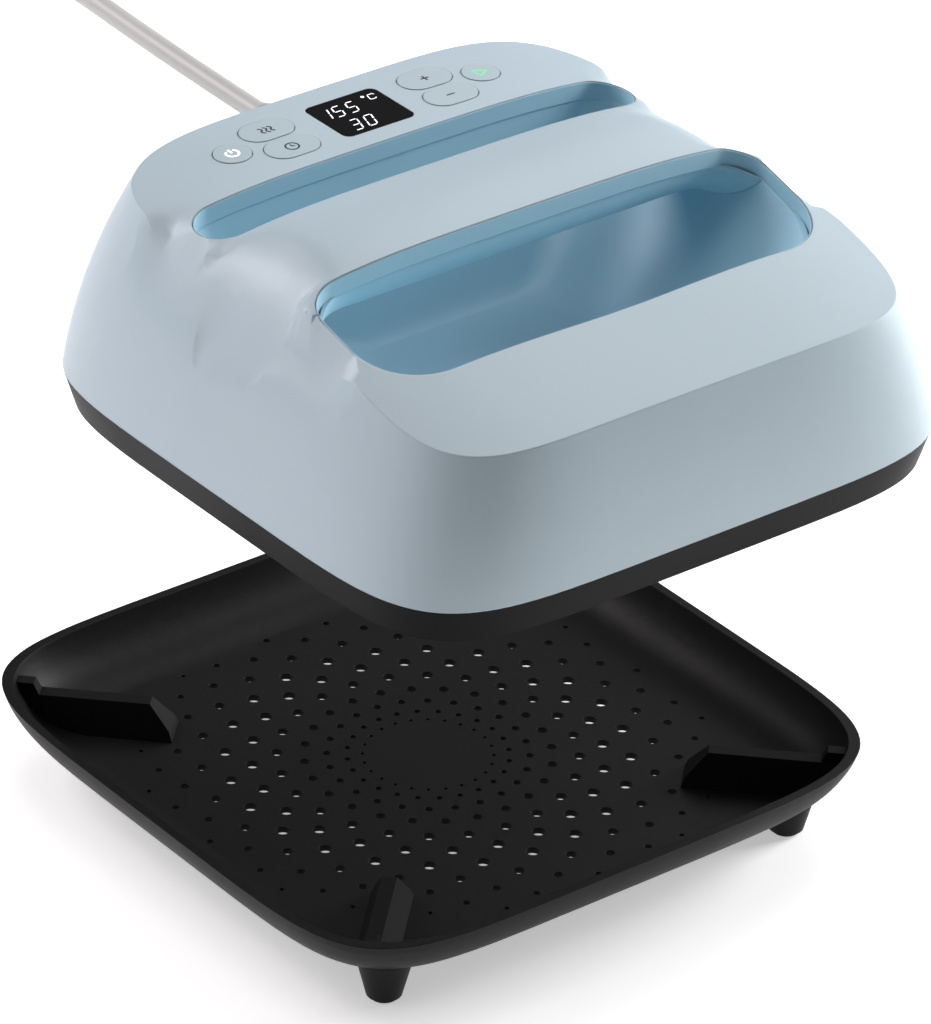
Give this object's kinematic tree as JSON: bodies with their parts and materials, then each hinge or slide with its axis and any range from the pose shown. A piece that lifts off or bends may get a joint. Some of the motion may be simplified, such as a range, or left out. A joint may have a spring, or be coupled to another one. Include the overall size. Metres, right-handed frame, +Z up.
{
  "type": "handheld heat press",
  "caption": "Square handheld heat press with a bridge grip and a small display, lifted off its perforated resting base, with mains cord.",
  "frame": {"origin": "centre of the grip, where a hand lifts the press", "axes": "+Z up, away from the table; -Y towards the user, the side of the sloping front panel; +X to the user's right"},
  "size_m": [0.3214, 0.5905, 0.2637],
  "materials": {
    "housing_blue": "satin",
    "liner_blue": "satin",
    "black_plastic": "satin",
    "tray_black": "fine textured",
    "cradle_grey": "matte",
    "key_blue": "satin",
    "plate_metal": "smooth",
    "steel": "plain",
    "element_steel": "dull",
    "galvanised": "dull",
    "ceramic_white": "matte",
    "blanket_white": "fibrous",
    "silicone_black": "matte",
    "board_green": "solder mask",
    "component_black": "matte",
    "component_yellow": "matte",
    "relay_blue": "matte",
    "terminal_green": "matte",
    "heat_sink_black": "anodised",
    "brass": "plain",
    "display_glass": "high gloss",
    "cord_grey": "satin",
    "lead_red": "satin",
    "lead_brown": "satin",
    "ribbon_grey": "satin"
  },
  "bodies": {
    "press": {"upper_housing": "housing_blue", "hand_recess_liner": "liner_blue", "handle_underside": "liner_blue", "display_window": "display_glass", "display_module": "component_black", "display_board": "board_green", "display_screws": "steel", "tact_switches": "component_black", "indicator_leds": "ceramic_white", "lower_housing": "black_plastic", "liner_screws": "steel", "heat_plate": "plate_metal", "heating_element": "element_steel", "element_terminals": "steel", "element_clamps": "galvanised", "plate_screws": "steel", "plate_studs": "steel", "plate_spacers": "ceramic_white", "plate_nuts": "steel", "plate_seal": "silicone_black", "insulation_blanket": "blanket_white", "heat_shield": "galvanised", "thermistor": "ceramic_white", "thermistor_clip": "galvanised", "thermal_fuse": "component_yellow", "fuse_strap": "galvanised", "main_board": "board_green", "board_screws": "steel", "power_transformer": "component_yellow", "power_relay": "relay_blue", "triac_heat_sink": "heat_sink_black", "triac": "component_black", "terminal_block": "terminal_green", "filter_capacitor": "component_yellow", "storage_capacitor": "component_black", "buzzer": "component_black", "ribbon_connectors": "ceramic_white", "ribbon_cable": "ribbon_grey", "mains_leads": "lead_brown", "heater_leads": "lead_red", "strain_relief": "cord_grey", "cord_clamp": "black_plastic", "cord_clamp_screws": "steel", "cord": "cord_grey"},
    "base": {"base_tray": "tray_black", "foot_pads": "silicone_black", "cradle_screws": "steel", "cradle_front_left": "cradle_grey", "cradle_front_right": "cradle_grey", "cradle_rear_left": "cradle_grey", "cradle_rear_right": "cradle_grey", "cord_coil": "cord_grey", "cord_plug": "cord_grey", "plug_pins": "brass"},
    "power_button": {"power_button": "key_blue"},
    "go_button": {"go_button": "key_blue"},
    "heat_button": {"heat_button": "key_blue"},
    "timer_button": {"timer_button": "key_blue"},
    "plus_button": {"plus_button": "key_blue"},
    "minus_button": {"minus_button": "key_blue"}
  },
  "joints": [
    {"name": "base_dock", "type": "slide", "parent": "press", "child": "base", "axis": [0.1475, -0.0908, 0.9849], "range_m": [0, 0.12885]},
    {"name": "power_button_press", "type": "slide", "parent": "press", "child": "power_button", "axis": [0, 0, -1], "range_m": [0, 0.0006], "stiffness_N_per_m": 900},
    {"name": "go_button_press", "type": "slide", "parent": "press", "child": "go_button", "axis": [0, 0, -1], "range_m": [0, 0.0006], "stiffness_N_per_m": 900},
    {"name": "heat_button_press", "type": "slide", "parent": "press", "child": "heat_button", "axis": [0, 0, -1], "range_m": [0, 0.0006], "stiffness_N_per_m": 900},
    {"name": "timer_button_press", "type": "slide", "parent": "press", "child": "timer_button", "axis": [0, 0, -1], "range_m": [0, 0.0006], "stiffness_N_per_m": 900},
    {"name": "plus_button_press", "type": "slide", "parent": "press", "child": "plus_button", "axis": [0, 0, -1], "range_m": [0, 0.0006], "stiffness_N_per_m": 900},
    {"name": "minus_button_press", "type": "slide", "parent": "press", "child": "minus_button", "axis": [0, 0, -1], "range_m": [0, 0.0006], "stiffness_N_per_m": 900}
  ]
}
